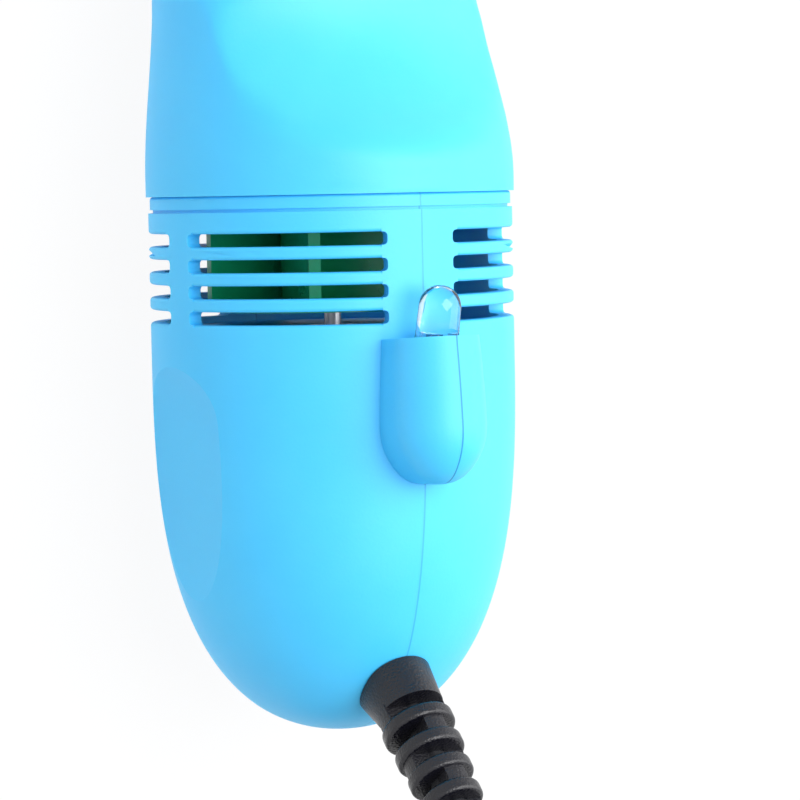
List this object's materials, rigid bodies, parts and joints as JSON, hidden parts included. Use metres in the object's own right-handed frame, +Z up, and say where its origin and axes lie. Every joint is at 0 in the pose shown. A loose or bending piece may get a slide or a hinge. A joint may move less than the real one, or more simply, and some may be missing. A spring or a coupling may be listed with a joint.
{
  "type": "desk vacuum cleaner",
  "caption": "Small corded desk vacuum cleaner: scooped pull-off front cover, slotted housing in two halves with a lamp pod, motor and fan, slide switch, ribbed strain relief, cord and plug.",
  "frame": {"origin": "middle of the body's length, on the surface it lies on, without its cord", "axes": "+Y towards the nozzle, +Z up through the lamp pod"},
  "size_m": [0.0515, 0.266, 0.0635],
  "materials": {
    "blue_plastic": "smooth, slightly translucent",
    "white_plastic": "satin",
    "green_plastic": "smooth",
    "clear_lens": "clear, water-like",
    "tinned_metal": "tinned",
    "black_plastic": "satin",
    "black_rubber": "satin",
    "cord_rubber": "smooth",
    "steel": "satin",
    "ferrite": "ground",
    "copper": "enamelled wire",
    "bronze": "sintered",
    "carbon": "graphite",
    "brass": "polished",
    "cloth": "felt",
    "red_plastic": "wire sleeve",
    "wire_black": "wire sleeve"
  },
  "bodies": {
    "housing": {"rear_housing_left": "blue_plastic", "rear_housing_right": "blue_plastic", "housing_screws": "steel", "motor_can": "steel", "motor_end_cap": "white_plastic", "motor_magnets": "ferrite", "motor_bushes": "bronze", "motor_brushes": "carbon", "motor_terminals": "brass", "led_lens": "clear_lens", "led_frame": "tinned_metal", "led_resistor": "white_plastic", "switch_body": "black_plastic", "switch_frame": "steel", "switch_terminals": "tinned_metal", "strain_relief": "black_rubber", "cord_inner": "cord_rubber", "cord_lead": "cord_rubber", "cord_coil": "cord_rubber", "cord_tail": "cord_rubber", "cord_tie": "black_plastic", "plug_overmould": "black_rubber", "plug_shell": "steel", "plug_insert": "white_plastic", "plug_contacts": "brass", "wire_supply_red": "red_plastic", "wire_supply_black": "wire_black", "wire_switched": "red_plastic", "wire_lamp_red": "red_plastic", "wire_lamp_black": "wire_black"},
    "cover": {"front_cover": "blue_plastic"},
    "filter": {"filter_frame": "white_plastic", "filter_cloth": "cloth"},
    "rotor": {"impeller": "green_plastic", "motor_shaft": "steel", "motor_armature": "steel", "motor_windings": "copper", "motor_commutator": "brass"},
    "switch_knob": {"switch_slider": "black_plastic"}
  },
  "joints": [
    {"name": "cover_pull", "type": "slide", "parent": "housing", "child": "cover", "axis": [0, 1, 0], "range_m": [0, 0.03]},
    {"name": "filter_pull", "type": "slide", "parent": "housing", "child": "filter", "axis": [0, 1, 0], "range_m": [0, 0.004]},
    {"name": "rotor_spin", "type": "hinge", "parent": "housing", "child": "rotor", "pos_m": [0, -0.0235, 0.02175], "axis": [0, 1, 0], "continuous": true},
    {"name": "switch_slide", "type": "slide", "parent": "housing", "child": "switch_knob", "axis": [0, 1, 0], "range_m": [0, 0.0025]}
  ]
}
